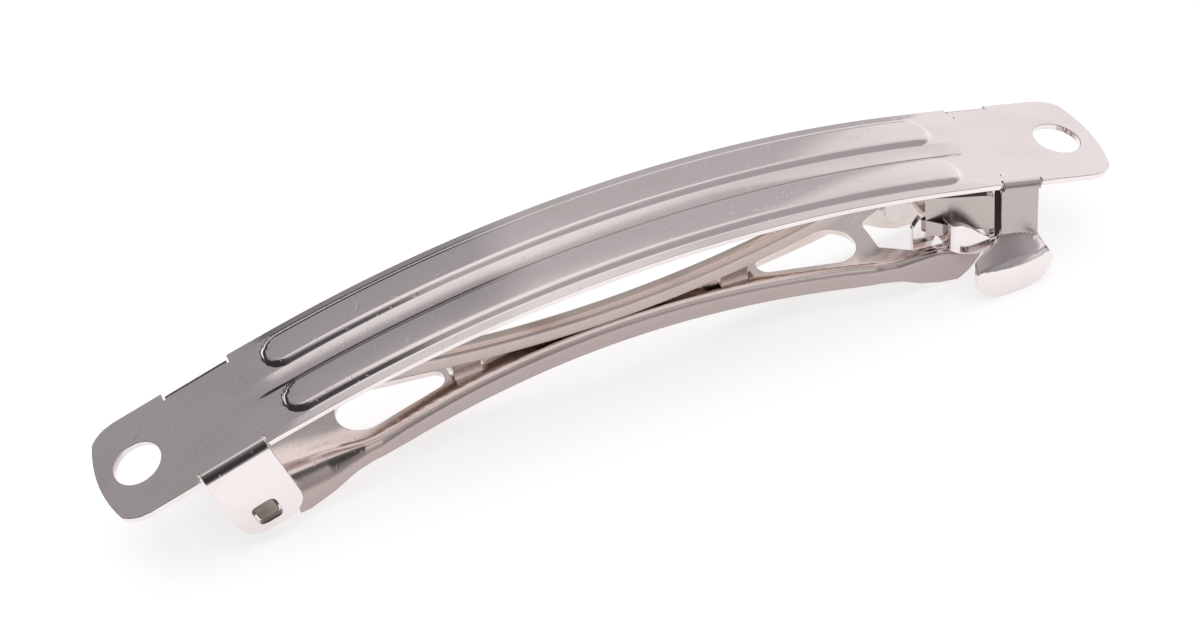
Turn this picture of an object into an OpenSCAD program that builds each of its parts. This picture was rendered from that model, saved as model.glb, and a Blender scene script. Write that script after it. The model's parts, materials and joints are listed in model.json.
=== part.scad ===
// French barrette clip: a pressed top plate, a hinged clasp arm and a bow bar between them.
// X runs along the clip with the hinge at -X, -Y is the front, +Z is up.
// The origin is on the ground under the middle of the clip.

/* [Plate] */
// Length of the clip from tip to tip
clip_l = 80; // [78:0.5:82]
// Width of the plate
plate_w = 9.8; // [9.4:0.1:10.2]
// Thickness of the pressed sheet
sheet = 0.5; // [0.45:0.01:0.55]
// Radius of the plate's top face along its length
plate_r = 99; // [97:0.5:102]
// Angle from the middle at which the curve ends and the flat tabs begin
tab_lean = 16.2; // [15.9:0.1:16.5]
// Diameter of the sewing hole in each tab
hole_d = 3.7; // [3:0.1:4]
// Distance from a tab's tip to the centre of its hole
hole_in = 3.2; // [3:0.1:3.6]
// Height of the plate's top face over the ground at its middle
stand_h = 13.9; // [13.8:0.1:14.5]

/* [Ribs] */
// Width of each pressed rib
rib_w = 3.05; // [2.8:0.05:3.1]
// Height of each rib over the plate
rib_h = 0.5; // [0.4:0.05:0.55]
// Distance of each rib's crest line from the middle of the plate
rib_y = 2.5; // [2.3:0.05:2.6]
// Length of the ribs along the plate, hinge side of the middle
rib_hinge_l = 26.5; // [25:0.5:27]
// Length of the ribs along the plate, latch side of the middle
rib_latch_l = 27.6; // [26:0.2:27.6]

/* [Ears and wings] */
// Distance of the ears' and wings' outer faces from the middle
side_y = 5.05; // [5:0.05:5.2]
// Outer radius of the bends at the plate's edges
bend_r = 0.9; // [0.8:0.05:1]
// Width of each hinge ear
ear_w = 5.2; // [4.8:0.1:5.4]
// Depth of each hinge ear under the tab's top face
ear_h = 7.6; // [7.4:0.1:8]
// Distance of the hinge pivot along the tab, from the end of the plate's curve
pivot_out = 3.6; // [3.4:0.1:3.8]
// Distance of the hinge pivot under the tab's top face
pivot_drop = 5.9; // [5.8:0.05:6]
// Width of the square pivot hole in each ear
pivot_hole = 1.94; // [1.9:0.01:2]
// Hinge end of each squeeze wing
wing_x0 = 29.5; // [29.4:0.1:29.7]
// Outer end of each squeeze wing
wing_x1 = 32.6; // [32.4:0.1:32.8]
// Width of each finger pad
pad_w = 6.4; // [6.3:0.1:7]
// Distance that each wing flares outwards
flare_out = 1.8; // [1.6:0.1:2.6]

/* [Clasp arm] */
// Radius of the arm's top face along its length
arm_r = 225; // [215:5:235]
// Depth of the arm's crest under the plate's top face
arm_drop = 8.45; // [8.3:0.05:8.5]
// Half width of the arm at its waist
waist = 1.35; // [1.3:0.05:1.6]
// Height of the arm's turned down sides
flange_h = 1.75; // [1.5:0.05:1.9]
// Half width of the arm's head, between the wings
head_half = 3.9; // [3.7:0.05:3.9]

/* [Bow bar] */
// Radius of the bow bar's feet line, which curves against the plate
bow_r = 80; // [78:0.5:82]
// Width of the bow bar
bow_w = 1.5; // [1.4:0.1:1.6]
// Height of the bow bar's channel
bow_h = 1.3; // [1.1:0.1:1.4]
// Length of the bow bar
bow_l = 46.6; // [44:0.2:46.6]

/* [Hidden] */
smooth = 48;
fine = 720;
$fn = smooth;
over = 1;
nickel = [0.78, 0.75, 0.74];
steel_tan = [0.80, 0.74, 0.70];
spring_tan = [0.66, 0.57, 0.50];

plate_half = plate_w / 2;
curve_z = -plate_r;
tab_x = plate_r * sin(tab_lean);
tab_z = -plate_r * (1 - cos(tab_lean));
tab_l = (clip_l / 2 - tab_x) / cos(tab_lean);
tab_end_r = 12;
lap = 0.1;
tab_corner_r = 2.75;

rib_radius = (pow(rib_w / 2, 2) + rib_h * rib_h) / (2 * rib_h);
rib_a0 = -((rib_hinge_l - rib_w / 2) / plate_r) * 180 / PI;
rib_a1 = ((rib_latch_l - rib_w / 2) / plate_r) * 180 / PI;

ear_x0 = pivot_out - ear_w / 2 - 0.2;
ear_corner_r = 1.8;
relief = 0.25;
pivot_x = -(tab_x + pivot_out * cos(tab_lean) - pivot_drop * sin(tab_lean));
pivot_z = tab_z - pivot_out * sin(tab_lean) - pivot_drop * cos(tab_lean);
hole_corner_r = 0.45;
trunnion_r = pivot_hole / 2 - 0.05;
trunnion_w = 1.62;

// The wing's bend line runs along the tab's edge, just under the bend
wing_axis_drop = bend_r + 0.45;
wing_axis_y = side_y - sheet / 2;
lip_l = wing_axis_drop - bend_r - 0.05;
wing_t0 = (wing_x0 - tab_x + wing_axis_drop * sin(tab_lean)) / cos(tab_lean);
wing_t1 = (wing_x1 - tab_x + wing_axis_drop * sin(tab_lean)) / cos(tab_lean);
crease_z = -10;
flare_down = 1.3;
pad_x0 = 26.5;
pad_top_z = crease_z - flare_down;
pad_corner_r = 2.4;
finger_x0 = 25.3;
finger_x1 = 28.5;
finger_top_z = -7.5;
finger_z = -10.6;
bridge_top_z = -9.9;
leg_y = 2.25;
leg_x0 = 23.3;
leg_z = -11.6;
cross_z = -9.6;
barb_y = 2.72;
stop_x = 28.7;
stop_z = -9.8;
stop_y0 = 2.6;
stop_y1 = 4.5;

arm_mid_x = -3.5;
side_r = 82.6;
arm_half_l = 20;
neck_half = 3.75;
hinge_half = 4.1;
hinge_x = -30.6;
hinge_wide_x = -24;
fork_x = -27.6;
fork_half = 1.35;
head_wide_x = 22;
head_x = 28.4;
window_tip_x = 21;
window_x0 = 22.8;
window_x1 = 25.9;
window_half = 2.8;
wall_layer = 5;
slot_l = 2.6;
slot_w = 1.7;
slot_xs = [-12, 9.5];
bow_sheet = 0.4;
lug_l = 2.2;
lug_w = 0.8;
toe_l = 3.1;

// Height of the wing's bend line at a place along the clip
function wing_axis_z(x) = tab_z - tan(tab_lean) * (x - tab_x) - wing_axis_drop / cos(tab_lean);

// Height of the arm's top face at a place along the clip
function arm_z(x) = -arm_drop - arm_r + sqrt(arm_r * arm_r - pow(x - arm_mid_x, 2));

// Height of the bow bar's feet at a place along the clip
function bow_z(x) = -arm_drop + bow_r - sqrt(bow_r * bow_r - x * x);

// Heights below are measured from the plate's top face, and this puts them over the ground
module over_ground() {
    translate([0, 0, stand_h]) children();
}

// The front half's shape and its mirror image at the back
module both_sides() {
    children();
    mirror([0, 1, 0]) children();
}

// Frame of a flat tab: X runs outwards from the end of the curve, and Z leaves its top face
module on_tab(end) {
    mirror([end < 0 ? 1 : 0, 0, 0])
        translate([tab_x, 0, tab_z]) rotate([0, tab_lean, 0]) children();
}

// A section swept along the plate's curve, from angle a to angle b of the upright
module along_curve(a, b) {
    translate([0, 0, curve_z]) rotate([90, 0, 0]) rotate([0, 0, 90 - b])
        rotate_extrude(angle = b - a, $fn = fine) let ($fn = smooth) children();
}

// An outline in X and Z given a thickness in Y, from y0 to y1 on the front side
module upright_sheet(y0, y1) {
    translate([0, -y0, 0]) rotate([90, 0, 0]) linear_extrude(y1 - y0) children();
}

// A square whose corners are round
module round_square(w, r) {
    square([w, w - 2 * r], center = true);
    square([w - 2 * r, w], center = true);
    for (x = [-1, 1], y = [-1, 1])
        translate([x * (w / 2 - r), y * (w / 2 - r)]) circle(r);
}

// The round section of a rib, down to a floor that is measured from the plate's top face
module rib_section(r, floor_z) {
    intersection() {
        translate([0, rib_h - rib_radius]) circle(r);
        translate([-rib_w, floor_z]) square([2 * rib_w, rib_h - floor_z + over]);
    }
}

// Both ribs with their round ends, as solid forms
module rib_forms(r, floor_z) {
    for (side = [-1, 1]) {
        along_curve(rib_a0, rib_a1)
            translate([plate_r, side * rib_y]) rotate(-90) rib_section(r, floor_z);
        for (end = [[rib_a0, 90], [rib_a1, -90]])
            translate([plate_r * sin(end[0]), side * rib_y, curve_z + plate_r * cos(end[0])])
                rotate([0, end[0], 0]) rotate([0, 0, end[1]])
                    rotate_extrude(angle = 180) intersection() {
                        rib_section(r, floor_z);
                        translate([0, -plate_r]) square(2 * plate_r);
                    }
    }
}

// The curved body with its two hollow ribs
module plate_curve() {
    difference() {
        union() {
            along_curve(-tab_lean, tab_lean)
                translate([plate_r - sheet, -plate_half]) square([sheet, plate_w]);
            rib_forms(rib_radius, -sheet / 2);
        }
        rib_forms(rib_radius - sheet, -sheet - over / 4);
    }
}

// Outline of a tab with its rounded tip
module tab_outline() {
    intersection() {
        union() {
            translate([-lap, -plate_half])
                square([tab_l + lap - tab_corner_r, plate_w]);
            translate([0, tab_corner_r - plate_half])
                square([tab_l, plate_w - 2 * tab_corner_r]);
            for (y = [-1, 1])
                translate([tab_l - tab_corner_r, y * (plate_half - tab_corner_r)])
                    circle(tab_corner_r);
        }
        translate([tab_l - tab_end_r, 0]) circle(tab_end_r, $fn = 2 * $fn);
    }
}

// A flat tab with its sewing hole, set back where the sheet is bent down between t0 and t1
module tab(t0, t1) {
    difference() {
        translate([0, 0, -sheet]) linear_extrude(sheet) tab_outline();
        translate([tab_l - hole_in, 0, -sheet - over]) cylinder(d = hole_d, h = sheet + 2 * over);
        both_sides()
            translate([t0 - relief, -plate_half - over, -sheet - over])
                cube([t1 - t0 + 2 * relief, plate_half + over - side_y + bend_r, sheet + 2 * over]);
    }
}

// The quarter round bend from a tab's face down to its side
module edge_bend(t0, t1) {
    translate([t0, bend_r - side_y, -bend_r]) rotate([90, 0, 90]) linear_extrude(t1 - t0)
        intersection() {
            difference() {
                circle(bend_r);
                circle(bend_r - sheet);
            }
            translate([-bend_r, 0]) square(bend_r);
        }
}

// One hinge ear, bent down from the tab, with its square pivot hole
module ear() {
    edge_bend(ear_x0, ear_x0 + ear_w);
    difference() {
        upright_sheet(side_y - sheet, side_y) {
            translate([ear_x0, ear_corner_r - ear_h])
                square([ear_w, ear_h - ear_corner_r - bend_r]);
            translate([ear_x0 + ear_corner_r, -ear_h])
                square([ear_w - 2 * ear_corner_r, ear_corner_r]);
            for (x = [ear_x0 + ear_corner_r, ear_x0 + ear_w - ear_corner_r])
                translate([x, ear_corner_r - ear_h]) circle(ear_corner_r);
        }
        upright_sheet(side_y - sheet - over, side_y + over)
            translate([pivot_out, -pivot_drop]) rotate(-tab_lean)
                round_square(pivot_hole, hole_corner_r);
    }
}

// Lip of the plate over a wing, and the small upright stop beside it
module wing_root() {
    on_tab(1) {
        edge_bend(wing_t0, wing_t1);
        upright_sheet(side_y - sheet, side_y)
            translate([wing_t0, -bend_r - lip_l]) square([wing_t1 - wing_t0, lip_l]);
    }
    translate([stop_x, -stop_y1, stop_z])
        cube([sheet, stop_y1 - stop_y0, tab_z - sheet - stop_z]);
}

module top_plate() {
    color(nickel) over_ground() {
        plate_curve();
        on_tab(-1) tab(ear_x0, ear_x0 + ear_w);
        on_tab(1) tab(wing_t0, wing_t1);
        both_sides() {
            on_tab(-1) ear();
            wing_root();
        }
    }
}

// Section of a wing across the clip: upright side, flared shoulder and upright finger pad
module wing_section() {
    half = sheet / 2;
    turn = atan(flare_out / flare_down) / 2;
    shift = half * tan(turn);
    pad_y = wing_axis_y + flare_out;
    polygon([[-wing_axis_y - half, 0], [-wing_axis_y - half, crease_z + shift],
             [-pad_y - half, pad_top_z + shift], [-pad_y - half, -stand_h],
             [-pad_y + half, -stand_h], [-pad_y + half, pad_top_z - shift],
             [-wing_axis_y + half, crease_z - shift], [-wing_axis_y + half, 0]]);
}

// Front view of a wing: a narrow side under the tab, which spreads to the round finger pad
module wing_view() {
    pad_x1 = pad_x0 + pad_w;
    polygon([[wing_x0, wing_axis_z(wing_x0)], [wing_x1, wing_axis_z(wing_x1)],
             [wing_x1, crease_z], [pad_x1, pad_top_z], [pad_x1, pad_corner_r - stand_h],
             [pad_x0, pad_corner_r - stand_h], [pad_x0, pad_top_z], [wing_x0, crease_z]]);
    translate([pad_x0 + pad_corner_r, -stand_h]) square([pad_w - 2 * pad_corner_r, pad_corner_r + over]);
    intersection() {
        translate([pad_x0, -stand_h]) square([pad_w, pad_corner_r + lap]);
        union() for (x = [pad_x0 + pad_corner_r, pad_x1 - pad_corner_r])
            translate([x, pad_corner_r - stand_h]) circle(pad_corner_r);
    }
}

// The catch: a finger beside the arm's head, a step over its side and a barbed leg in its window
module wing_catch() {
    upright_sheet(side_y - sheet, side_y) {
        polygon([[finger_x0, finger_top_z], [finger_x1, finger_top_z - 1], [finger_x1, finger_z],
                 [finger_x0 + 0.6, finger_z], [finger_x0, finger_z + 0.8]]);
        translate([finger_x1 - sheet, finger_z])
            square([wing_x0 + 2 * sheet - finger_x1, bridge_top_z - finger_z]);
    }
    translate([finger_x0, -side_y, cross_z])
        cube([sheet, side_y - leg_y + sheet / 2, finger_top_z - cross_z]);
    upright_sheet(leg_y - sheet / 2, leg_y + sheet / 2)
        polygon([[leg_x0, finger_top_z], [finger_x0 + sheet, finger_top_z],
                 [finger_x0 + sheet, cross_z], [finger_x0 - 1, leg_z], [leg_x0, leg_z + 0.8]]);
    upright_sheet(leg_y, barb_y)
        polygon([[leg_x0 + 0.1, leg_z + 0.9], [finger_x0 - 1, leg_z + 0.1],
                 [finger_x0 - 0.5, leg_z + 0.6]]);
}

// One squeeze wing, which turns about the line where its side leaves the plate's lip
module wing() {
    intersection() {
        translate([pad_x0 - over, 0, 0]) rotate([90, 0, 90])
            linear_extrude(pad_w + 2 * over) wing_section();
        upright_sheet(0, 2 * side_y) wing_view();
    }
    wing_catch();
}

module front_wing() {
    color(nickel) over_ground() wing();
}

module back_wing() {
    color(nickel) over_ground() mirror([0, 1, 0]) wing();
}

// Outline of a hole between two round ends on the middle line
module tear_hole(x0, r0, x1, r1) {
    lean = acos((r0 - r1) / (x1 - x0));
    translate([x0, 0]) circle(r0);
    translate([x1, 0]) circle(r1);
    polygon([for (p = [[x0, r0, 1], [x1, r1, 1], [x1, r1, -1], [x0, r0, -1]])
        [p[0] + p[1] * cos(lean), p[2] * p[1] * sin(lean)]]);
}

// Plan of the arm: waisted in the middle, wide at the hinge and at the head
module arm_plan() {
    difference() {
        union() {
            intersection() {
                square(2 * arm_half_l, center = true);
                difference() {
                    square([2 * arm_half_l, 2 * head_half], center = true);
                    for (side = [-1, 1])
                        translate([0, side * (waist + side_r)]) circle(side_r, $fn = fine);
                }
            }
            polygon([[hinge_x, -hinge_half], [hinge_wide_x, -hinge_half],
                     [-arm_half_l, -neck_half], [-arm_half_l, neck_half],
                     [hinge_wide_x, hinge_half], [hinge_x, hinge_half]]);
            polygon([[arm_half_l, -neck_half], [head_wide_x, -head_half], [head_x, -head_half],
                     [head_x, head_half], [head_wide_x, head_half], [arm_half_l, neck_half]]);
        }
        tear_hole(-20.1, 2.1, -14.7, 0.95);
        tear_hole(12.4, 0.9, 17.6, 1.95);
        for (x = slot_xs)
            translate([x, 0]) square([slot_l, slot_w], center = true);
        translate([hinge_x - over, -fork_half])
            square([fork_x - hinge_x + over, 2 * fork_half]);
        polygon([[window_tip_x, 0], [window_x0, window_half], [window_x1, window_half],
                 [window_x1, -window_half], [window_x0, -window_half]]);
    }
}

// Plan of the arm's front side wall
module arm_side_plan() {
    intersection() {
        translate([-arm_half_l, -head_half]) square([2 * arm_half_l, head_half]);
        translate([0, -waist - side_r]) difference() {
            circle(side_r + sheet, $fn = fine);
            circle(side_r, $fn = fine);
        }
    }
    polygon([[hinge_x, -hinge_half], [hinge_wide_x, -hinge_half], [-arm_half_l, -neck_half],
             [-arm_half_l, sheet - neck_half], [hinge_wide_x, sheet - hinge_half],
             [hinge_x, sheet - hinge_half]]);
    polygon([[arm_half_l, -neck_half], [head_wide_x, -head_half], [head_x, -head_half],
             [head_x, sheet - head_half], [head_wide_x, sheet - head_half],
             [arm_half_l, sheet - neck_half]]);
}

// A layer of the arm's curve, this deep under its top face
module arm_layer(depth) {
    rotate([90, 0, 0]) linear_extrude(3 * head_half, center = true)
        intersection() {
            translate([arm_mid_x, -arm_drop - arm_r]) difference() {
                circle(arm_r, $fn = 2 * fine);
                circle(arm_r - depth, $fn = 2 * fine);
            }
            translate([-clip_l / 2, -clip_l / 2]) square(clip_l);
        }
}

// Side view of the arm's walls: low along the waist, deep at the hinge and at the head
module arm_wall_view() {
    z0 = arm_z(-arm_half_l) - flange_h;
    z1 = arm_z(arm_half_l) - flange_h;
    polygon([[hinge_x, 0], [hinge_x, -11.7], [-27, -11.7], [-27, -13], [-26.2, -13.1],
             [-22.3, -11], [-arm_half_l, z0 + 0.1], [-arm_half_l / 2, arm_z(-10) - flange_h],
             [0, arm_z(0) - flange_h], [arm_half_l / 2, arm_z(10) - flange_h],
             [arm_half_l, z1], [head_wide_x, -11.8], [23.2, -12.8], [24.8, -13.4], [26.5, -13.6],
             [27.5, -12.8], [head_x, -11.5], [head_x, 0]]);
}

// One round cornered square trunnion that turns in an ear's hole
module trunnion() {
    translate([pivot_x, sheet - hinge_half, pivot_z]) rotate([90, 0, 0])
        linear_extrude(side_y - hinge_half + sheet + 0.15) intersection() {
            circle(trunnion_r);
            square(trunnion_w, center = true);
        }
}

module clasp_arm() {
    color(steel_tan) over_ground() {
        intersection() {
            arm_layer(sheet);
            translate([0, 0, -clip_l / 2]) linear_extrude(clip_l) arm_plan();
        }
        both_sides() {
            intersection() {
                arm_layer(wall_layer);
                translate([0, 0, -clip_l / 2]) linear_extrude(clip_l) arm_side_plan();
                rotate([90, 0, 0]) linear_extrude(3 * head_half, center = true) arm_wall_view();
            }
            trunnion();
        }
    }
}

// A section swept along the bow bar's curve, whose centre is over the clip
module along_bow() {
    half_a = asin(bow_l / 2 / bow_r);
    translate([0, 0, bow_r - arm_drop]) rotate([90, 0, 0]) rotate([0, 0, -90 - half_a])
        rotate_extrude(angle = 2 * half_a, $fn = fine) children();
}

// A lug of the bow bar, down through the arm's slot, with its turned toe under the arm
module bow_lug(x) {
    toe_z = arm_z(x) - sheet - 0.08;
    translate([x - lug_l / 2, -lug_w / 2, toe_z - bow_sheet])
        cube([lug_l, lug_w, bow_z(x) + bow_h - bow_sheet / 2 - toe_z + bow_sheet]);
    translate([x - toe_l / 2, -lug_w / 2, toe_z - bow_sheet]) cube([toe_l, lug_w, bow_sheet]);
}

module bow_bar() {
    color(spring_tan) over_ground() {
        along_bow() difference() {
            translate([bow_r - bow_h, -bow_w / 2]) square([bow_h, bow_w]);
            translate([bow_r - bow_h + bow_sheet, bow_sheet - bow_w / 2])
                square([bow_h, bow_w - 2 * bow_sheet]);
        }
        for (x = slot_xs) bow_lug(x);
    }
}

top_plate();
front_wing();
back_wing();
clasp_arm();
bow_bar();
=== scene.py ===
import json
import math

import bpy
import numpy as np
from mathutils import Matrix, Vector
from mathutils.geometry import delaunay_2d_cdt


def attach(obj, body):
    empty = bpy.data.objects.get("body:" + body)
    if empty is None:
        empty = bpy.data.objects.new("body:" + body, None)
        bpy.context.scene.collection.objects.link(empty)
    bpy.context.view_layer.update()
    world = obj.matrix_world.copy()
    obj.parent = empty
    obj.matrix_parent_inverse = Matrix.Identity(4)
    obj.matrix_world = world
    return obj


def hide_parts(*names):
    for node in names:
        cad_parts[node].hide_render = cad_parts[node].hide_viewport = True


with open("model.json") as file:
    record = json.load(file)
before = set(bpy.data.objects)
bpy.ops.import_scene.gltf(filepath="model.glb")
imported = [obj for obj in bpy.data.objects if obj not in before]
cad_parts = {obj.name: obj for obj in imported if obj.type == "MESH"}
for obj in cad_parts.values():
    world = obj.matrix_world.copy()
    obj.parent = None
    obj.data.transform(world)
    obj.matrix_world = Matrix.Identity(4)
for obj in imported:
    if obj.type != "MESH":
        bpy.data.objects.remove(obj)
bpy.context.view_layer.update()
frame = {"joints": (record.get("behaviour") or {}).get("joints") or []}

mm = 0.001

# Camera. The clip is seen from the front left and from well above, through a long lens, with
# the picture turned a little clockwise. The aim is the middle of the plate's top face.
stand = 13.9
picture_width = 1200
focal_pixels = 3022.3
aim_right, aim_up = 6.37, 86.84
distance = 218.38
azimuth, elevation, roll = (math.radians(a) for a in (-18.08, 43.67, -6.84))

back = Vector((math.sin(azimuth) * math.cos(elevation),
               -math.cos(azimuth) * math.cos(elevation), math.sin(elevation)))
level_right = (-back).cross(Vector((0, 0, 1))).normalized()
level_up = level_right.cross(-back)
right = level_right * math.cos(roll) + level_up * math.sin(roll)
up = level_up * math.cos(roll) - level_right * math.sin(roll)
eye = (back - right * (aim_right / focal_pixels) - up * (aim_up / focal_pixels)) * distance
eye.z += stand

lens = bpy.data.cameras.new("long_lens")
lens.sensor_width = 36
lens.lens = lens.sensor_width * focal_pixels / picture_width
lens.clip_start = 0.01
camera = bpy.data.objects.new("camera", lens)
bpy.context.scene.collection.objects.link(camera)
turn = Matrix((right, up, back)).transposed().to_4x4()
camera.matrix_world = Matrix.Translation(eye * mm) @ turn
bpy.context.scene.camera = camera

# Bright nickel. All three pressings are steel sheet with a thin bright nickel plating, which is
# slightly warm, a little wavy from the press, and marked with fine pits and cloudy tarnish.


def link(nodes, a, a_socket, b, b_socket):
    """Joins the output a_socket of node a to the input b_socket of node b."""
    nodes.id_data.links.new(a.outputs[a_socket], b.inputs[b_socket])


def noise(nodes, place, per_metre, detail, stretch=(1, 1, 1)):
    """Noise over the object's own space, stretched along the clip where stretch says so."""
    scale = nodes.new("ShaderNodeMapping")
    scale.inputs["Scale"].default_value = stretch
    texture = nodes.new("ShaderNodeTexNoise")
    texture.inputs["Scale"].default_value = per_metre
    texture.inputs["Detail"].default_value = detail
    link(nodes, place, "Object", scale, "Vector")
    link(nodes, scale, "Vector", texture, "Vector")
    return texture


def ramp(nodes, source, socket, low, high):
    """A soft step, from nothing at low to all at high."""
    step = nodes.new("ShaderNodeMapRange")
    step.interpolation_type = "SMOOTHSTEP"
    step.inputs["From Min"].default_value = low
    step.inputs["From Max"].default_value = high
    link(nodes, source, socket, step, "Value")
    return step


def combined(nodes, operation, a, a_socket, b, b_socket):
    """A sum, product or the like of two sockets."""
    result = nodes.new("ShaderNodeMath")
    result.operation = operation
    link(nodes, a, a_socket, result, 0)
    link(nodes, b, b_socket, result, 1)
    return result


def added(nodes, base, base_socket, share, a, a_socket):
    """The base with a share of a on top."""
    total = nodes.new("ShaderNodeMath")
    total.operation = "MULTIPLY_ADD"
    total.inputs[1].default_value = share
    link(nodes, a, a_socket, total, 0)
    link(nodes, base, base_socket, total, 2)
    return total


def blended(nodes, share, socket, a, b):
    """The colour at a share of the way from socket a to socket b."""
    mix = nodes.new("ShaderNodeMix")
    mix.data_type = "RGBA"
    link(nodes, share, socket, mix, "Factor")
    nodes.id_data.links.new(a, mix.inputs[6])
    nodes.id_data.links.new(b, mix.inputs[7])
    return mix.outputs[2]


def bump(nodes, height, depth):
    """A surface raised by up to a depth in millimetres."""
    relief = nodes.new("ShaderNodeBump")
    relief.inputs["Distance"].default_value = depth * mm
    link(nodes, height, 0, relief, "Height")
    return relief


def outer_side(nodes, place, start):
    """A mask of the upright faces over Side Foot that look away from the clip's middle, times the
    share they take of painted darker reflection and roughness.
    """
    least_steep, steep = 0.6, 0.9
    facing = nodes.new("ShaderNodeSeparateXYZ")
    link(nodes, place, "Normal", facing, 0)
    upright = nodes.new("ShaderNodeMath")
    upright.operation = "ABSOLUTE"
    link(nodes, facing, "Y", upright, 0)
    steepness = ramp(nodes, upright, 0, least_steep, steep)
    where = nodes.new("ShaderNodeSeparateXYZ")
    link(nodes, place, "Object", where, 0)
    above = combined(nodes, "GREATER_THAN", where, "Z", start, "Side Foot")
    away = nodes.new("ShaderNodeMath")
    away.operation = "GREATER_THAN"
    away.inputs[1].default_value = 0
    link(nodes, combined(nodes, "MULTIPLY", facing, "Y", where, "Y"), 0, away, 0)
    wall = combined(nodes, "MULTIPLY", steepness, "Result", above, 0)
    outer = combined(nodes, "MULTIPLY", wall, 0, away, 0)
    return combined(nodes, "MULTIPLY", outer, 0, start, "Side Shade And Roughness")


def plating_group():
    """Waves of the pressed sheet, fine pits, cloudy tarnish and painted darker reflection on outer
    upright faces, as colour, roughness and normal.
    """
    cloud_scale, cloud_low, cloud_high = 260, 0.45, 0.75
    rough_scale, rough_share, side_roughness = 900, 0.1, 0.12
    wave_scale, wave_depth = 210, 0.1
    pit_scale, pit_low, pit_high, pit_depth = 2600, 0.66, 0.74, 0.02
    group = bpy.data.node_groups.new("nickel_plating", "ShaderNodeTree")
    sockets = (("Clean", "NodeSocketColor"), ("Tarnish", "NodeSocketColor"),
               ("Polish", "NodeSocketFloat"), ("Waves", "NodeSocketFloat"),
               ("Pits", "NodeSocketFloat"), ("Cloud", "NodeSocketFloat"),
               ("Side", "NodeSocketColor"), ("Side Shade And Roughness", "NodeSocketFloat"),
               ("Side Foot", "NodeSocketFloat"))
    for name, kind in sockets:
        group.interface.new_socket(name=name, in_out="INPUT", socket_type=kind)
    for name, kind in (("Color", "NodeSocketColor"), ("Roughness", "NodeSocketFloat"),
                       ("Normal", "NodeSocketVector")):
        group.interface.new_socket(name=name, in_out="OUTPUT", socket_type=kind)
    nodes = group.nodes
    start = nodes.new("NodeGroupInput")
    end = nodes.new("NodeGroupOutput")
    place = nodes.new("ShaderNodeTexCoord")

    clouds = noise(nodes, place, cloud_scale, 3, (0.5, 1, 1))
    patches = ramp(nodes, clouds, "Fac", cloud_low, cloud_high)
    cloud = combined(nodes, "MULTIPLY", patches, "Result", start, "Cloud")
    colour = blended(nodes, cloud, 0, start.outputs["Clean"], start.outputs["Tarnish"])
    # Outer upright faces take painted darker reflection in their colour, and more roughness.
    side = outer_side(nodes, place, start)
    colour = blended(nodes, side, 0, colour, start.outputs["Side"])
    group.links.new(colour, end.inputs["Color"])

    rough = added(nodes, start, "Polish", rough_share, noise(nodes, place, rough_scale, 4), "Fac")
    rough = added(nodes, rough, 0, side_roughness, side, 0)
    link(nodes, rough, 0, end, "Roughness")

    wave_noise = noise(nodes, place, wave_scale, 2, (0.45, 1, 1))
    waves = bump(nodes, combined(nodes, "MULTIPLY", wave_noise, "Fac", start, "Waves"), wave_depth)
    dots = ramp(nodes, noise(nodes, place, pit_scale, 2), "Fac", pit_low, pit_high)
    pits = bump(nodes, combined(nodes, "MULTIPLY", dots, "Result", start, "Pits"), pit_depth)
    pits.invert = True
    link(nodes, waves, "Normal", pits, "Normal")
    link(nodes, pits, "Normal", end, "Normal")
    return group


nickel_plating = plating_group()


def nickel(name, clean, tarnish, polish, waves, pits, cloud, side=(0.5, 0.44, 0.43), side_shade_and_roughness=0,
           side_foot=-1):
    """A nickel finish. polish is its roughness, and waves, pits and cloud go from 0 to 1. Outer
    upright faces over side_foot take a share of the side colour, as painted darker reflection,
    and get a little rougher."""
    material = bpy.data.materials.new(name)
    material.use_nodes = True
    nodes = material.node_tree.nodes
    shader = nodes["Principled BSDF"]
    shader.inputs["Metallic"].default_value = 1
    surface = nodes.new("ShaderNodeGroup")
    surface.node_tree = nickel_plating
    surface.inputs["Clean"].default_value = (*clean, 1)
    surface.inputs["Tarnish"].default_value = (*tarnish, 1)
    surface.inputs["Side"].default_value = (*side, 1)
    for socket, value in (("Polish", polish), ("Waves", waves), ("Pits", pits), ("Cloud", cloud),
                          ("Side Shade And Roughness", side_shade_and_roughness), ("Side Foot", side_foot)):
        surface.inputs[socket].default_value = value
    link(nodes, surface, "Color", shader, "Base Color")
    link(nodes, surface, "Roughness", shader, "Roughness")
    link(nodes, surface, "Normal", shader, "Normal")
    return material


# Top plate. One blank of half millimetre steel sheet is pressed to a bow with two round ended
# ribs, pierced at both tabs, and its two ears are bent down for the clasp arm's trunnions.
plate_nickel = nickel("plate_nickel", (0.86, 0.80, 0.80), (0.78, 0.72, 0.71),
                      polish=0.07, waves=0.2, pits=0.4, cloud=0.6)
sheet = 0.5
plate_radius = 99
plate_half = 4.9
tab_lean = math.radians(16.2)
clip_half = 40
curve_end = plate_radius * tab_lean
tab_x, tab_z = plate_radius * math.sin(tab_lean), plate_radius * (math.cos(tab_lean) - 1)
blank_end = curve_end + (clip_half - tab_x) / math.cos(tab_lean)
tip_radius, tip_corner = 12, 2.75
hole_radius, hole_in = 1.85, 3.2
side_y, bend_outer = 5.05, 0.9
bend_start = side_y - bend_outer
bend_middle = bend_outer - sheet / 2
bend_length = bend_middle * math.pi / 2
relief = 0.12
rib_half, rib_flank, rib_height, rib_line = 1.7, 0.6, 0.3, 2.5
rib_from, rib_to = -26.5, 27.6
rear_crown, front_crown = 0.03, 0.08
groove_depth, groove_line, edge_droop = 0.13, -0.5, 0.08
groove_past, groove_fade = 2, 3
ear_width, ear_depth, ear_corner, ear_shift = 5.2, 7.6, 1.8, 0.2
pivot_out, pivot_drop, pivot_hole, pivot_corner = 3.6, 5.9, 1.94, 0.45
ear_out = pivot_out - ear_width / 2 - ear_shift
wing_x0, wing_x1, wing_axis_drop, wing_bend = 29.5, 32.6, 1.35, 0.6


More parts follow.
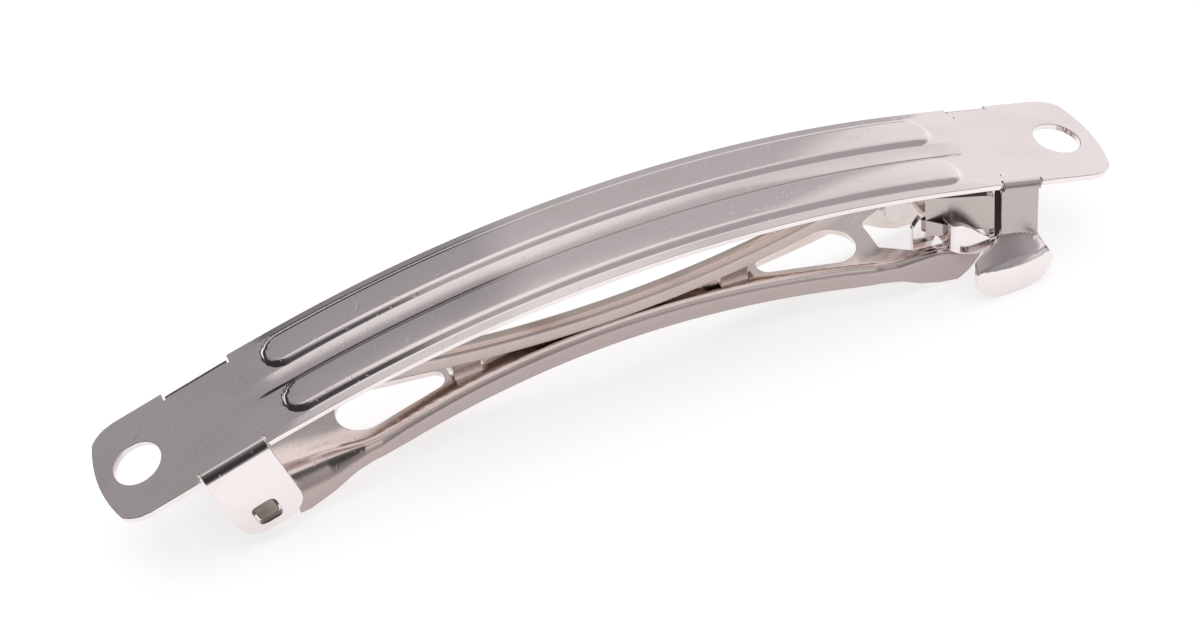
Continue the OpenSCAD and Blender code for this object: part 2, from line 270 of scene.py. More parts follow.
def tab_place(x):
    """Distance along the latch tab of the place under its bend that lies at x."""
    return (x - tab_x + wing_axis_drop * math.sin(tab_lean)) / math.cos(tab_lean)


def arc(cx, cy, radius, start, end, steps=8):
    """Points of an arc, with its angles in degrees."""
    angles = np.radians(np.linspace(start, end, steps + 1))
    return [(cx + radius * math.cos(a), cy + radius * math.sin(a)) for a in angles]


def round_square(cx, cy, width, corner, lean=0):
    """Outline of a square with round corners."""
    reach = width / 2 - corner
    points = [p for i, (sx, sy) in enumerate(((1, 1), (-1, 1), (-1, -1), (1, -1)))
              for p in arc(sx * reach, sy * reach, corner, 90 * i, 90 * i + 90, 4)]
    c, s = math.cos(lean), math.sin(lean)
    return [(cx + x * c - y * s, cy + x * s + y * c) for x, y in points]


def resampled(points, pitch, shortest=0.002):
    """A closed outline whose steps are at most one pitch long, and at least shortest of one."""
    made = []
    for (x0, y0), (x1, y1) in zip(points, points[1:] + points[:1]):
        length = math.hypot((x1 - x0) / pitch[0], (y1 - y0) / pitch[1])
        if length < shortest:
            continue
        steps = max(1, math.ceil(length))
        made += [(x0 + (x1 - x0) * i / steps, y0 + (y1 - y0) * i / steps) for i in range(steps)]
    return np.array(made)


def signed_area(points):
    """Area of an outline, more than nothing where it turns left."""
    following = np.roll(points, -1, axis=0)
    return 0.5 * np.sum(points[:, 0] * following[:, 1] - points[:, 1] * following[:, 0])


def outward(points, least_spread=0.35):
    """Mitred normals of an outline, pointing out of the metal, with their length held in."""
    before = points - np.roll(points, 1, axis=0)
    after = np.roll(points, -1, axis=0) - points
    normals = []
    for step in (before, after):
        normals.append(np.stack([step[:, 1], -step[:, 0]], axis=1)
                       / np.linalg.norm(step, axis=1, keepdims=True))
    total = normals[0] + normals[1]
    spread = 1 + np.sum(normals[0] * normals[1], axis=1, keepdims=True)
    return total / np.maximum(spread, least_spread)


def inside(points, loops):
    """Which points lie in the metal, by counting the outlines that a line to the side crosses."""
    crossings = np.zeros(len(points), int)
    x, y = points[:, :1], points[:, 1:]
    for loop in loops:
        following = np.roll(loop, -1, axis=0)
        x0, y0, x1, y1 = loop[:, 0], loop[:, 1], following[:, 0], following[:, 1]
        rise = np.where(y1 == y0, 1, y1 - y0)
        hit = ((y0 > y) != (y1 > y)) & (x < (x1 - x0) * (y - y0) / rise + x0)
        crossings += hit.sum(axis=1)
    return crossings % 2 == 1


def cut_loops(outlines, pitch, edge, joined):
    """Outlines as even loops drawn in by their rounded edge, with the edge's reach and size."""
    square_edge = 0.004
    loops, rims, edges = [], [], []
    for number, points in enumerate(outlines):
        loop = resampled(list(points), pitch)
        if (signed_area(loop) > 0) != (number == 0):
            loop = loop[::-1].copy()
        size = np.full((len(loop), 1), edge)
        if joined is not None:
            size[joined(loop[:, 0], loop[:, 1])] = square_edge
        rim = outward(loop) * size
        rims.append(rim)
        edges.append(size)
        loops.append(loop - rim)
    return loops, np.concatenate(rims), np.concatenate(edges)


def filled(loops, pitch):
    """Flat points and triangles of the metal within its loops: the loops' own points come first,
    and a grid of the given pitch fills the rest."""
    border_room, least_gap = 0.55, 1e-7
    scale = np.array(pitch)
    border = np.concatenate(loops)
    low, high = border.min(axis=0), border.max(axis=0)
    counts = np.maximum(1, np.ceil((high - low) / scale)).astype(int)
    grid = np.stack(np.meshgrid(*(np.linspace(low[i], high[i], counts[i] + 1) for i in (0, 1))),
                    axis=-1).reshape(-1, 2)
    grid = grid[inside(grid, loops)]
    gap = np.min(np.linalg.norm((grid[:, None] - border[None]) / scale, axis=2), axis=1)
    flat = np.concatenate([border, grid[gap > border_room]])
    constraints, first = [], 0
    for loop in loops:
        ring = list(range(first, first + len(loop)))
        constraints += list(zip(ring, ring[1:] + ring[:1]))
        first += len(loop)
    found = delaunay_2d_cdt([Vector(p) for p in flat / scale], constraints, [], 0, least_gap)
    kept = [sources[0] for sources in found[3]]
    faces = np.array([[kept[i] for i in face] for face in found[2]])
    return flat, faces[inside(flat[faces].mean(axis=1), loops)]


def edge_faces(loops, rows):
    """Faces of the rounded cut edges, between rows of points that follow the loops."""
    made, first = [], 0
    for loop in loops:
        here = np.arange(first, first + len(loop))
        there = np.roll(here, -1)
        for above, below in zip(rows, rows[1:]):
            made += [tuple(q) for q in np.stack([above[here], below[here],
                                                 below[there], above[there]], axis=1)]
        first += len(loop)
    return made


def sheet_mesh(name, points, polygons, directions):
    """An object from places in millimetres, whose height counts from the plate's top face."""
    points[:, 2] += stand
    mesh = bpy.data.meshes.new(name)
    mesh.from_pydata((points * mm).tolist(), [], [tuple(int(i) for i in p) for p in polygons])
    mesh.polygons.foreach_set("use_smooth", [True] * len(mesh.polygons))
    directions /= np.linalg.norm(directions, axis=1, keepdims=True)
    mesh.normals_split_custom_set_from_vertices(directions.tolist())
    piece = bpy.data.objects.new(name, mesh)
    bpy.context.scene.collection.objects.link(piece)
    return piece


def press(name, outlines, place, thick=sheet, pitch=(0.5, 0.3), edge=0.07, joined=None):
    """A piece of sheet cut to flat outlines in millimetres and bent to place(u, v), the middle of
    its thickness. Its cut edges are rounded, but stay square where joined(u, v) says so."""
    probe, rim_reach = 0.002, 1.01
    loops, rim, size = cut_loops(outlines, pitch, edge, joined)
    flat, faces = filled(loops, pitch)

    def bent(points, height):
        """Places and normals of flat points at a height over the middle of the sheet."""
        u, v = points[:, 0], points[:, 1]
        along = place(u + probe, v) - place(u - probe, v)
        across = place(u, v + probe) - place(u, v - probe)
        normal = np.cross(along, across)
        normal /= np.linalg.norm(normal, axis=1, keepdims=True)
        return place(u, v) + normal * height, normal

    places, normals = [], []
    for side in (1, -1):
        where, normal = bent(flat, side * thick / 2)
        places.append(where)
        normals.append(normal * side)
    count, border = len(flat), flat[:len(rim)]
    rows = [np.arange(len(border))]
    for side, angle in ((1, 45), (1, 90), (-1, 90), (-1, 45)):
        turn = math.radians(angle)
        height = side * (thick / 2 - size * (1 - math.cos(turn)))
        where, normal = bent(border + rim * math.sin(turn), height)
        reach = bent(border + rim * rim_reach, height)[0] - bent(border, height)[0]
        reach /= np.linalg.norm(reach, axis=1, keepdims=True)
        rows.append(2 * count + np.arange(len(border)) + len(border) * (len(rows) - 1))
        places.append(where)
        normals.append(normal * side * math.cos(turn) + reach * math.sin(turn))
    rows.append(count + np.arange(len(border)))
    polygons = [tuple(f) for f in faces] + [tuple(f[::-1] + count) for f in faces]
    return sheet_mesh(name, np.concatenate(places), polygons + edge_faces(loops, rows),
                      np.concatenate(normals))


def finished(piece, material, body, finish, *nodes):
    """Gives a piece its material and its body, and hides the solids it stands for. finish is not used.
    """
    piece.data.materials.append(material)
    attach(piece, body)
    if nodes:
        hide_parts(*nodes)
    return piece


def smooth(t):
    """A soft step from 0 to 1."""
    t = np.clip(t, 0, 1)
    return t * t * (3 - 2 * t)


def plate_rise(u, v):
    """Height of the pressed sheet over a flat one: two ribs with steep sides and low crowns, a
    shallow groove between them, and edges that droop a little beside them."""
    middle, half = (rib_from + rib_to) / 2, (rib_to - rib_from) / 2 - rib_half
    beyond = np.maximum(0, np.abs(u - middle) - half)
    apart = np.hypot(beyond, np.abs(v) - rib_line)
    crown = np.where(v < 0, front_crown, rear_crown) * (1 - np.minimum(1, apart / rib_half) ** 2)
    rib = rib_height * smooth((rib_half - apart) / rib_flank) + crown
    pressed = smooth((rib_half + groove_past - beyond) / groove_fade)
    foot = rib_line - rib_half
    half_groove = np.where(v > groove_line, foot - groove_line, foot + groove_line)
    groove = -groove_depth * np.maximum(0, 1 - ((v - groove_line) / half_groove) ** 2)
    strip = np.maximum(0, np.abs(v) - rib_line - rib_half) / (plate_half - rib_line - rib_half)
    return rib + pressed * (groove - edge_droop * strip)


def plate_place(u, v):
    """The plate's bow and flat tabs along u, with its sides bent down where a fold says so."""
    angle = np.clip(u, -curve_end, curve_end) / plate_radius
    extra = u - np.clip(u, -curve_end, curve_end)
    outer = np.zeros(len(u))
    for first, last, radius in folds:
        outer[(u > first - relief / 2) & (u < last + relief / 2)] = radius
    flap = outer > 0
    middle = np.where(flap, outer - sheet / 2, 1)
    past = np.where(flap, np.maximum(0, np.abs(v) - side_y + outer), 0)
    turn = np.minimum(past / middle, math.pi / 2)
    across = np.abs(v) - past + middle * np.sin(turn)
    drop = middle * (1 - np.cos(turn)) + np.maximum(0, past - middle * math.pi / 2)
    height = np.where(flap, 0, plate_rise(u, v)) - sheet / 2 - drop
    x = plate_radius * np.sin(angle) + extra * np.cos(angle) + height * np.sin(angle)
    z = plate_radius * (np.cos(angle) - 1) - extra * np.sin(angle) + height * np.cos(angle)
    return np.stack([x, np.sign(v) * across, z], axis=1)


ear_u0, ear_u1 = curve_end + ear_out, curve_end + ear_out + ear_width
wing_u0, wing_u1 = (curve_end + tab_place(x) for x in (wing_x0, wing_x1))
folds = ((-ear_u1, -ear_u0, bend_outer), (wing_u0, wing_u1, wing_bend))
wing_cut = side_y - wing_bend


def plate_outline():
    """The blank's outline: round tips, an ear on each side, and cuts beside the wings."""
    tip = []
    for y in np.linspace(0, plate_half, 40):
        over = max(0, y - plate_half + tip_corner)
        corner = blank_end - tip_corner + math.sqrt(tip_corner ** 2 - over ** 2)
        tip.append((min(corner, blank_end - tip_radius + math.sqrt(tip_radius ** 2 - y * y)), y))
    ear_v = bend_start + bend_length + ear_depth - bend_outer
    ear = ([(ear_u1 + relief, plate_half), (ear_u1 + relief, bend_start), (ear_u1, bend_start)]
           + arc(ear_u1 - ear_corner, ear_v - ear_corner, ear_corner, 0, 90)
           + arc(ear_u0 + ear_corner, ear_v - ear_corner, ear_corner, 90, 180)
           + [(ear_u0, bend_start), (ear_u0 - relief, bend_start), (ear_u0 - relief, plate_half)])
    root = [(wing_u0 - relief, plate_half), (wing_u0 - relief, wing_cut),
            (wing_u1 + relief, wing_cut), (wing_u1 + relief, plate_half)]
    half = [(-u, v) for u, v in tip] + [(-u, v) for u, v in ear] + root + tip[::-1]
    return half + [(u, -v) for u, v in half[::-1]]


close = 0.01


def near(a, b):
    """Whether two places on the flat sheet are the same but for rounding."""
    return np.abs(a - b) < close


def wing_root(u, v):
    """The part of the plate's edge where a wing goes on without a gap."""
    return near(np.abs(v), wing_cut) & (u > wing_u0 - close) & (u < wing_u1 + close)


hole_u = blank_end - hole_in
ear_v = bend_start + bend_length + pivot_drop - bend_outer
holes = [arc(side * hole_u, 0, hole_radius, 0, 360, 40)[:-1] for side in (1, -1)]
holes += [round_square(-curve_end - pivot_out, side * ear_v, pivot_hole, pivot_corner)
          for side in (1, -1)]
top_plate = press("pressed_top_plate", [plate_outline()] + holes, plate_place,
                  pitch=(0.3, 0.16), joined=wing_root)
finished(top_plate, plate_nickel, "plate", "plate_nickel", "top_plate")

# Stops. Beside each wing a narrow strip of the plate is bent straight down, and its cut edge
# shows as a bright line next to a dark slot. What lies in the slot can't be made out, so a near
# black web stands there, square to the stop: painted shade that gives the slot its dark line.
# Painted shade: a near black finish for sheets that stand where only shade is seen.
painted_shade_black = nickel("painted_shade_black", (0.05, 0.042, 0.038), (0.025, 0.02, 0.018),
                      polish=0.4, waves=1, pits=1, cloud=1)
stop_x, stop_z = 28.95, -9.8
stop_y0, stop_y1 = 2.6, 4.5
stop_top = tab_z - 0.7
web_x0, web_x1, web_y, web_z = 29.15, 30.1, 3.75, -10.6
web_thick = 0.3
stop_outline = [(stop_y0, stop_z), (stop_y1, stop_z), (stop_y1, stop_top), (stop_y0, stop_top)]
web_outline = [(web_x0, web_z), (web_x1, web_z), (web_x1, stop_top), (web_x0, stop_top)]


def along_clip(y):
    """An upright sheet that stands along the clip, y from its middle."""
    return lambda u, v: np.stack([u, np.full_like(u, y), v], axis=1)


def across_clip(x, side):
    """An upright sheet that stands across the clip, on the front (-1) or at the back (1)."""
    return lambda u, v: np.stack([np.full_like(u, x), side * u, v], axis=1)


for name, side in (("front_stop", -1), ("back_stop", 1)):
    stop = press(name, [stop_outline], across_clip(stop_x, side), pitch=(0.5, 0.5))
    finished(stop, plate_nickel, "plate", "plate_nickel")
    # The web is painted shade: a near black sheet in the dark slot beside the stop.
    web = press(name + "_web", [web_outline], along_clip(side * web_y), thick=web_thick,
                pitch=(0.3, 0.5))
    finished(web, painted_shade_black, "plate", "plate_nickel")

# Guides. In front of each stop a strip slants inwards over the arm's head, close under the plate.
# Its shape is a guess, and it cuts through the wing's catch. The dark corner over it can't be
# made out either, so a near black root closes it up to the plate's edge, as painted shade.
guide_nickel = nickel("guide_nickel", (0.80, 0.74, 0.72), (0.66, 0.58, 0.52), polish=0.16, waves=0.5,
                      pits=0.4, cloud=0.8, side=(0.52, 0.46, 0.44), side_shade_and_roughness=1)


def folded(corners, radius):
    """A bent strip's section: a function from the length along it to its two coordinates."""
    step, bend_steps = 0.01, 24
    points = [np.array(corners[0], float)]
    for before, here, after in zip(corners, corners[1:], corners[2:]):
        before, here, after = (np.array(p, float) for p in (before, here, after))
        came, goes = here - before, after - here
        came, goes = came / np.linalg.norm(came), goes / np.linalg.norm(goes)
        turn = math.acos(np.clip(came @ goes, -1, 1))
        cut = radius * math.tan(turn / 2)
        for t in np.linspace(0, 1, bend_steps):
            a, b = here - came * cut * (1 - t), here + goes * cut * t
            points.append(a * (1 - t) + b * t)
    points.append(np.array(corners[-1], float))
    points = np.array(points)
    along = np.concatenate([[0], np.cumsum(np.linalg.norm(np.diff(points, axis=0), axis=1))])
    fine = np.arange(0, along[-1], step)
    bent = np.stack([np.interp(fine, along, points[:, i]) for i in (0, 1)], axis=1)

    def section(w):
        inner = np.clip(w, 0, fine[-1])
        first = bent[1] - bent[0]
        last = bent[-1] - bent[-2]
        base = np.stack([np.interp(inner, fine, bent[:, i]) for i in (0, 1)], axis=-1)
        ends = np.where((w < 0)[..., None], first, last) / step
        return base + ends * (w - inner)[..., None]

    section.length = along[-1]
    return section


def bent_along(fold, side):
    """An upright sheet bent to a fold seen from above, on the front (-1) or at the back (1)."""

    def place(u, v):
        at = fold(u)
        return np.stack([at[:, 0], side * at[:, 1], v], axis=1)

    return place


guide_thick, guide_bend = 0.45, 0.3
guide_fold = folded([(29, 4.75), (25.8, 3.6), (24.3, 2.7)], guide_bend)
guide_outline = [(0, -8.6), (0, -5.3), (1.2, -5.05), (3, -4.7), (3.5, -4.65), (4.1, -5),
                 (guide_fold.length, -5.1), (guide_fold.length, -9), (3.6, -8.9), (3, -8.4)]
root_y, root_thick = 4.65, 0.3
root_outline = [(23.4, -3.2), (23.4, -3.4), (26, -4.35), (28.4, -5.2), (28.4, -4.5)]
for name, side in (("front_guide", -1), ("back_guide", 1)):
    guide = press(name, [guide_outline], bent_along(guide_fold, side), thick=guide_thick,
                  pitch=(0.2, 0.4))
    finished(guide, guide_nickel, "plate", "plate_nickel")
    # The root is painted shade: a near black sheet in the dark corner under the plate's edge.
    root = press(name + "_root", [root_outline], along_clip(side * root_y), thick=root_thick,
                 pitch=(0.4, 0.3))
    finished(root, painted_shade_black, "plate", "plate_nickel")

# Squeeze wings. Each is a tongue of the plate that goes down beside the arm's head, flares out
# and ends in an upright finger pad. A bent arm of the same sheet, the catch, reaches in from its
# inner edge to the arm's window. The sheet flexes at its bend when the pads are squeezed.
wing_mid_y = side_y - sheet / 2
flare_out, flare_round, flare_least = 1.8, 0.12, 0.5
crease_z, crease_x, crease_fall = -9.35, 28.9, 4.8
pad_top, pad_x, pad_rise = -11.5, 29.9, 2.8
pad_width, pad_x0, pad_corner = 6.4, 26.5, 2.4
wing_foot, pad_shoulder, square_depth = 10.7, 10.9, 7.2
wing_nickel = nickel("wing_nickel", (0.86, 0.80, 0.80), (0.78, 0.72, 0.71), polish=0.09, waves=0.5,
                     pits=0.4, cloud=0.6, side=(0.5, 0.44, 0.435), side_shade_and_roughness=1,
                     side_foot=(stand - pad_shoulder) * mm)


def wing_outline():
    """The wing's outline, as place along the clip and depth under the plate's top face."""
    pad_x1 = pad_x0 + pad_width
    root = [(x, wing_bend / math.cos(tab_lean) - tab_z + math.tan(tab_lean) * (x - tab_x))
            for x in (wing_x0, wing_x1)]
    neck = [(pad_x0 + 0.35, 10.45), (wing_x0 - 0.6, 9.75), (wing_x0, 9.2)]
    return (root + [(wing_x1, wing_foot)]
            + arc(pad_x1 - pad_corner, stand - pad_corner, pad_corner, 0, 90)
            + arc(pad_x0 + pad_corner, stand - pad_corner, pad_corner, 90, 180)
            + [(pad_x0, pad_shoulder)] + neck)


def flare(u, z):
    """How far the wing stands out at a height: nothing over its crease, all of it at its pad."""
    foot = pad_top + pad_rise * ((u - pad_x) / pad_width) ** 2
    crease = crease_z - crease_fall * ((u - crease_x) / pad_width) ** 2
    crease = np.maximum(crease, foot + flare_least)
    t = (crease - z) / (crease - foot)
    return flare_out * (np.hypot(t, flare_round) - np.hypot(t - 1, flare_round) + 1) / 2


def wing_top(u, v):
    """The wing's upper part, whose edges stay square where they meet the bend."""
    return v < square_depth


catch_bend, catch_lap = 0.4, 0.1
catch_x, catch_y, catch_tip = 25.55, 2.25, 23.3
catch_fold = folded([(wing_x0 + catch_lap, wing_mid_y), (catch_x, wing_mid_y), (catch_x, catch_y),
                     (catch_tip, catch_y)], catch_bend)
finger_w, step_w = 3.9, 6.55
catch_outline = [(0, -10.45), (1, -10.8), (2.3, -10.4), (finger_w - 0.5, -9.95), (finger_w, -9.6),
                 (step_w, -9.6), (step_w + 1, -11.6), (step_w + 1.6, -11.2), (catch_fold.length, -10.6),
                 (catch_fold.length, -8.2), (catch_fold.length - 0.6, -7.4), (finger_w + 0.2, -6.9),
                 (finger_w - 0.4, -6.95), (finger_w - 1.2, -7.6), (finger_w - 2.1, -8.6),
                 (1.05, -9.25), (1, -9.95), (0, -9.95)]


def flared(side):
    """The wing's shape, on the front (-1) or at the back (1), from its outline."""
    return lambda u, v: np.stack([u, side * (wing_mid_y + flare(u, -v)), -v], axis=1)


bend_end = wing_cut + (wing_bend - sheet / 2) * math.pi / 2


def bend_ends(u, v):
    """Both ends of a wing's bend, where it goes on to the plate and to the wing."""
    return near(np.abs(v), wing_cut) | near(np.abs(v), bend_end)


for name, side, body in (("front_wing", -1, "front_squeeze_wing"),
                         ("back_wing", 1, "back_squeeze_wing")):
    leaf = press(name + "_leaf", [wing_outline()], flared(side), pitch=(0.4, 0.2), joined=wing_top)
    catch = press(name + "_leaf_catch", [catch_outline], bent_along(catch_fold, side),
                  pitch=(0.25, 0.4))
    finished(leaf, wing_nickel, body, "plate_nickel", name)
    finished(catch, plate_nickel, body, "plate_nickel")
    bend_outline = [(wing_u0, side * wing_cut), (wing_u1, side * wing_cut),
                    (wing_u1, side * bend_end), (wing_u0, side * bend_end)]
    bend = press(name + "_bend", [bend_outline], plate_place, pitch=(0.3, 0.08), joined=bend_ends)
    finished(bend, wing_nickel, "plate", "plate_nickel")

# Clasp arm. A second pressing, narrow at its waist, with turned down sides that make it stiff.
# It turns on two trunnions in the ears, and its six-cornered window takes the wings' catches.
arm_nickel = nickel("arm_nickel", (0.86, 0.785, 0.755), (0.74, 0.65, 0.60), polish=0.09, waves=0.6,
                    pits=0.4, cloud=0.7, side=(0.47, 0.40, 0.385), side_shade_and_roughness=1)
arm_radius, arm_mid_x, arm_drop = 225, -3.5, 8.45
waist, waist_radius, waist_end = 1.35, 82.6, 20
arm_hinge_x, arm_head_x = -30.6, 28.4
fork_x, fork_half = -27.6, 1.35
step_x0, step_x1 = -27.02, -26.98
side_points = 120
half_stations = ((arm_hinge_x, 4.1), (-24, 4.1), (-20.5, 3.85), (20, 3.75), (21.5, 3.95),
                 (23, 3.85), (24.7, 3.7), (26.4, 3.85), (arm_head_x, 3.9))
depth_stations = ((arm_hinge_x, 1.75), (step_x0, 1.75), (step_x1, 3.25), (-26.2, 3.3),
                  (-24.2, 2.6), (-22.3, 1.75), (-20.5, 1.45), (-18, 1.65), (-10, 1.75),
                  (18, 1.75), (20, 1.65), (21.6, 1.8), (23.2, 2.65), (24.8, 3.15), (26.5, 3.15),
                  (27.5, 2.3), (arm_head_x, 1))


def arm_top(x):
    """Height of the arm's top face under the plate's."""
    return -arm_drop - arm_radius + np.sqrt(arm_radius ** 2 - (x - arm_mid_x) ** 2)


def arm_half(x):
    """Half width of the arm over its turned down sides."""
    curved = waist + waist_radius - np.sqrt(np.maximum(1, waist_radius ** 2 - x * x))
    ends = np.interp(x, *zip(*half_stations))
    return np.where(np.abs(x) < waist_end, np.minimum(curved, ends), ends)


def arm_bend(x):
    """Middle radius of the arm's side bends, wide and soft at the hinge."""
    return np.interp(x, (-27, -24, -21, -18, 20, 24), (2.3, 1.9, 0.7, 0.45, 0.45, 0.35))


def arm_place(u, v):
    """The arm's curved top along u, with its sides turned down at its half width."""
    half, bend = arm_half(u) - sheet / 2, arm_bend(u)
    flat = half - bend
    past = np.maximum(0, np.abs(v) - flat)
    turn = np.minimum(past / bend, math.pi / 2)
    across = np.minimum(np.abs(v), flat) + bend * np.sin(turn)
    drop = bend * (1 - np.cos(turn)) + np.maximum(0, past - bend * math.pi / 2)
    return np.stack([u, np.sign(v) * across, arm_top(u) - sheet / 2 - drop], axis=1)


def arm_edge(x):
    """Flat width of the blank from its middle line to the foot of its turned down side."""
    depth = np.interp(x, *zip(*depth_stations)) - sheet / 2
    bend = arm_bend(x)
    inside_bend = bend * np.arccos(np.clip(1 - depth / bend, 0, 1))
    return arm_half(x) - sheet / 2 - bend + np.where(depth < bend, inside_bend,
                                                     bend * math.pi / 2 + depth - bend)


def tear(x0, r0, x1, r1):
    """Outline of a hole between two round ends."""
    lean = math.degrees(math.acos((r0 - r1) / (x1 - x0)))
    return arc(x1, 0, r1, -lean, lean, 12) + arc(x0, 0, r0, lean, 360 - lean, 24)


def slot(x, length, width):
    """Outline of a straight slot for a lug."""
    return [(x + sx * length / 2, sy * width / 2)
            for sx, sy in ((1, 1), (-1, 1), (-1, -1), (1, -1))]


side_x = set(np.round(np.linspace(arm_hinge_x, arm_head_x, side_points), 3)) | {step_x0, step_x1}
edge_line = [(x, float(arm_edge(np.array(x)))) for x in sorted(side_x)]
fork = [(arm_hinge_x, -fork_half), (fork_x, -fork_half), (fork_x, fork_half),
        (arm_hinge_x, fork_half)]
arm_outline = edge_line + [(x, -v) for x, v in edge_line[::-1]] + fork
window = [(20.9, 1.5), (23.2, 2.8), (25.9, 2.8), (25.9, -2.8), (23.2, -2.8), (20.9, -1.5)]
slot_length, slot_width = 2.6, 1.7
lug_places = (("hinge_lug", -12), ("latch_lug", 9.5))
arm_holes = [tear(-20.1, 2.1, -14.7, 0.95), tear(12.4, 0.9, 17.6, 1.95), window]
arm_holes += [slot(x, slot_length, slot_width) for name, x in lug_places]
clasp_arm = press("pressed_clasp_arm", [arm_outline] + arm_holes, arm_place, pitch=(0.4, 0.2),
                  edge=0.06)
finished(clasp_arm, arm_nickel, "arm", "arm_nickel", "clasp_arm")

# Trunnions. The arm's hinge ends are coined to short round cornered pegs, which turn in the
# ears' square holes. They look darker than the sheet, so they have a duller finish of their own.
dark_peg_nickel = nickel("dark_peg_nickel", (0.36, 0.31, 0.27), (0.16, 0.13, 0.11),
                        polish=0.3, waves=1, pits=1, cloud=1)
pivot = next(joint["pos_m"] for joint in frame["joints"] if joint["name"] == "arm_hinge")
pivot_x, pivot_z = pivot[0] / mm, pivot[2] / mm - stand
trunnion_in, trunnion_out = 3.7, side_y - 0.2
trunnion_width, trunnion_corner = 1.62, 0.35
trunnion_outline = round_square(pivot_x, pivot_z, trunnion_width, trunnion_corner, tab_lean)
for name, side in (("front_trunnion", -1), ("back_trunnion", 1)):
    peg = press(name, [trunnion_outline], along_clip(side * (trunnion_in + trunnion_out) / 2),
                thick=trunnion_out - trunnion_in, pitch=(0.3, 0.3), edge=0.12)
    finished(peg, dark_peg_nickel, "arm", "arm_nickel")

# Bow bar. A narrow inverted channel of spring steel that curves up towards the plate at both
# ends. Two lugs go down through the arm's slots and are turned over below.
bar_nickel = nickel("bar_nickel", (0.66, 0.57, 0.52), (0.42, 0.33, 0.27), polish=0.1, waves=0.8,
                    pits=0.4, cloud=0.9, side=(0.56, 0.48, 0.46), side_shade_and_roughness=1)
bow_radius, bow_half, bow_height, bow_sheet, bow_end = 80, 0.75, 1.3, 0.4, 23.3
bow_bend, bow_corner = 0.3, 0.5


def bow_foot(x):
    """Height of the bow bar's foot under the plate's top face."""
    return -arm_drop + bow_radius - np.sqrt(bow_radius ** 2 - x * x)


def bow_place(u, v):
    """The bar's flat top and turned down sides, curved along u."""
    flat = bow_half - bow_sheet / 2 - bow_bend
    past = np.maximum(0, np.abs(v) - flat)
    turn = np.minimum(past / bow_bend, math.pi / 2)
    across = np.minimum(np.abs(v), flat) + bow_bend * np.sin(turn)
    drop = bow_bend * (1 - np.cos(turn)) + np.maximum(0, past - bow_bend * math.pi / 2)
    top = bow_foot(u) + bow_height - bow_sheet / 2
    return np.stack([u, np.sign(v) * across, top - drop], axis=1)


bow_edge = bow_half - bow_sheet / 2 - bow_bend + bow_bend * math.pi / 2 + (
    bow_height - bow_sheet / 2 - bow_bend)
bow_half_outline = [(-bow_end, bow_corner - bow_edge), (bow_corner - bow_end, -bow_edge),
                    (bow_end - bow_corner, -bow_edge), (bow_end, bow_corner - bow_edge)]
bow_outline = bow_half_outline + [(-x, -y) for x, y in bow_half_outline]
bow_bar = press("bow_bar_channel", [bow_outline], bow_place, thick=bow_sheet, pitch=(0.5, 0.15),
                edge=0.06)
finished(bow_bar, bar_nickel, "arm", "bar_nickel", "bow_bar")

lug_half, toe_half, lug_thick = 1.1, 1.55, 0.8
lug_rise, toe_gap = 0.6, 0.08
for name, x in lug_places:
    high = float(bow_foot(x)) + lug_rise
    low = float(arm_top(x)) - sheet - toe_gap
    lug_outline = [(x - lug_half, high), (x - lug_half, low), (x - toe_half, low),
                   (x - toe_half, low - bow_sheet), (x + toe_half, low - bow_sheet),
                   (x + toe_half, low), (x + lug_half, low), (x + lug_half, high)]
    lug = press(name, [lug_outline], along_clip(0), thick=lug_thick, pitch=(0.4, 0.4), edge=0.08)
    finished(lug, bar_nickel, "arm", "bar_nickel")

# Studio. The clip stands on a plain white table, in a soft sky of six sides. Each side's ramp is
# matched to what the nickel mirrors in the photo: white overhead and low on the right,
# grey at the back, and dark low on the left and in front, but for one light strip in front.
floor_size = 3
floor_mesh = bpy.data.meshes.new("table_top")
corner = floor_size / 2
floor_mesh.from_pydata([(-corner, -corner, 0), (corner, -corner, 0), (corner, corner, 0),
                        (-corner, corner, 0)], [], [(0, 1, 2, 3)])
floor = bpy.data.objects.new("table_top", floor_mesh)
bpy.context.scene.collection.objects.link(floor)
paper = bpy.data.materials.new("white_paper")
paper.use_nodes = True
paper_shader = paper.node_tree.nodes["Principled BSDF"]
paper_shader.inputs["Base Color"].default_value = (0.35, 0.35, 0.35, 1)
paper_shader.inputs["Roughness"].default_value = 0.9
paper_shader.inputs["Specular IOR Level"].default_value = 0
paper_shader.inputs["Emission Color"].default_value = (1, 0.985, 0.99, 1)
paper_shader.inputs["Emission Strength"].default_value = 0.72
floor_mesh.materials.append(paper)

softbox = bpy.data.lights.new("softbox", "AREA")
softbox.shape = "SQUARE"
softbox.size = 1.2
softbox.energy = 9
softbox_stand = bpy.data.objects.new("softbox", softbox)
softbox_stand.location = (0, 0.1, 1)
softbox_stand.visible_glossy = False
bpy.context.scene.collection.objects.link(softbox_stand)


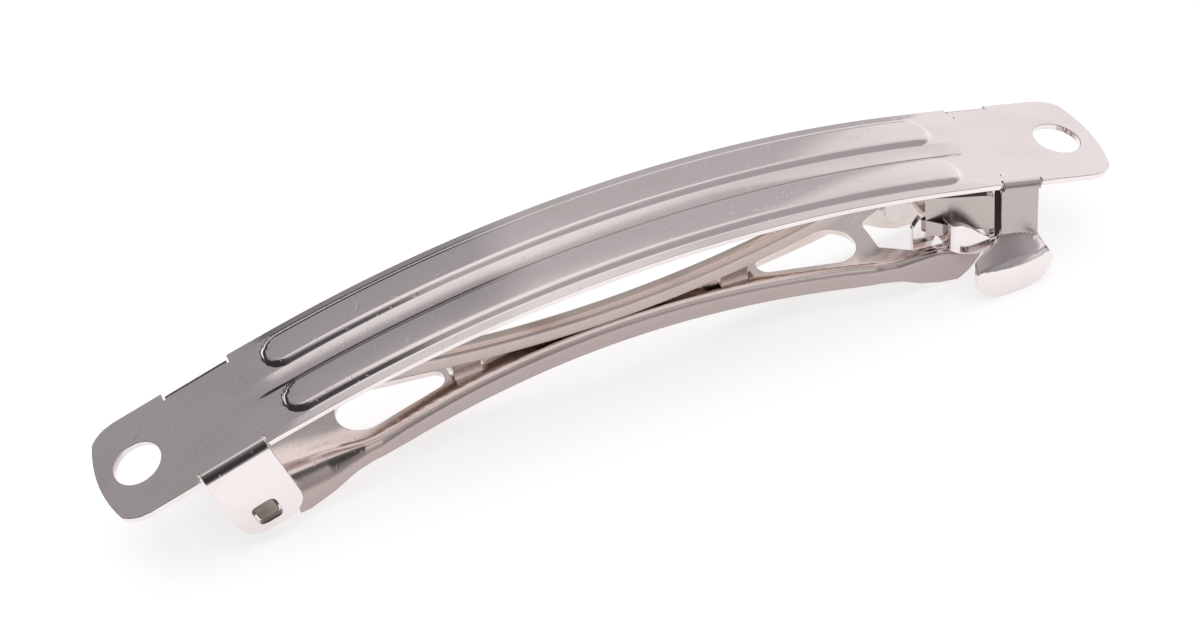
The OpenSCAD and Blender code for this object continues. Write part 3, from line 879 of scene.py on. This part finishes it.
def sky():
    """Light by direction. Each side of the studio has a ramp of brightness over height."""
    world = bpy.data.worlds.new("studio")
    bpy.context.scene.world = world
    world.use_nodes = True
    nodes = world.node_tree.nodes
    direction = nodes.new("ShaderNodeTexCoord")
    parts = nodes.new("ShaderNodeSeparateXYZ")
    link(nodes, direction, "Generated", parts, 0)
    heading = combined(nodes, "ARCTAN2", parts, "X", parts, "Y")

    def wall(*stops):
        """Brightness of one side, as (elevation in degrees, brightness) from the horizon up."""
        tones = nodes.new("ShaderNodeValToRGB")
        steps = tones.color_ramp.elements
        steps.remove(steps[1])
        for number, (height, tone) in enumerate(stops):
            place = math.sin(math.radians(height))
            step = steps.new(place) if number else steps[0]
            step.position = place
            step.color = (tone, tone * 0.965, tone * 0.97, 1)
        link(nodes, parts, "Z", tones, "Fac")
        return tones.outputs[0]

    def beside(a, b, first, last):
        """Side a up to the heading first and side b from last on, in degrees right of the back."""
        share = ramp(nodes, heading, 0, math.radians(first), math.radians(last))
        return blended(nodes, share, "Result", a, b)

    front = wall((0, 0.03), (50, 0.04), (66, 0.1), (74, 0.5), (84, 0.95), (90, 1))
    left = wall((0, 0.04), (26, 0.05), (31, 0.33), (44, 0.37), (50, 0.4), (60, 0.8), (90, 1))
    rear = wall((0, 0.5), (36, 0.5), (44, 0.52), (49, 0.6), (56, 0.85), (90, 1))
    right_side = wall((0, 1), (20, 0.95), (34, 0.8), (50, 0.7), (60, 0.85), (90, 1))
    front_right = wall((0, 0.3), (60, 0.42), (72, 0.5), (84, 0.95), (90, 1))
    ahead = wall((0, 0.6), (34, 0.75), (48, 0.8), (57, 0.42), (72, 0.5), (84, 0.95), (90, 1))
    sides = beside(front, left, -75, -55)
    sides = beside(sides, rear, 4, 10)
    sides = beside(sides, right_side, 35, 39)
    sides = beside(sides, front_right, 70, 95)
    sides = beside(sides, ahead, 158, 168)
    sides = beside(ahead, sides, -174, -168)
    nodes.id_data.links.new(sides, nodes["Background"].inputs["Color"])


sky()
bpy.context.scene.view_settings.view_transform = "Standard"
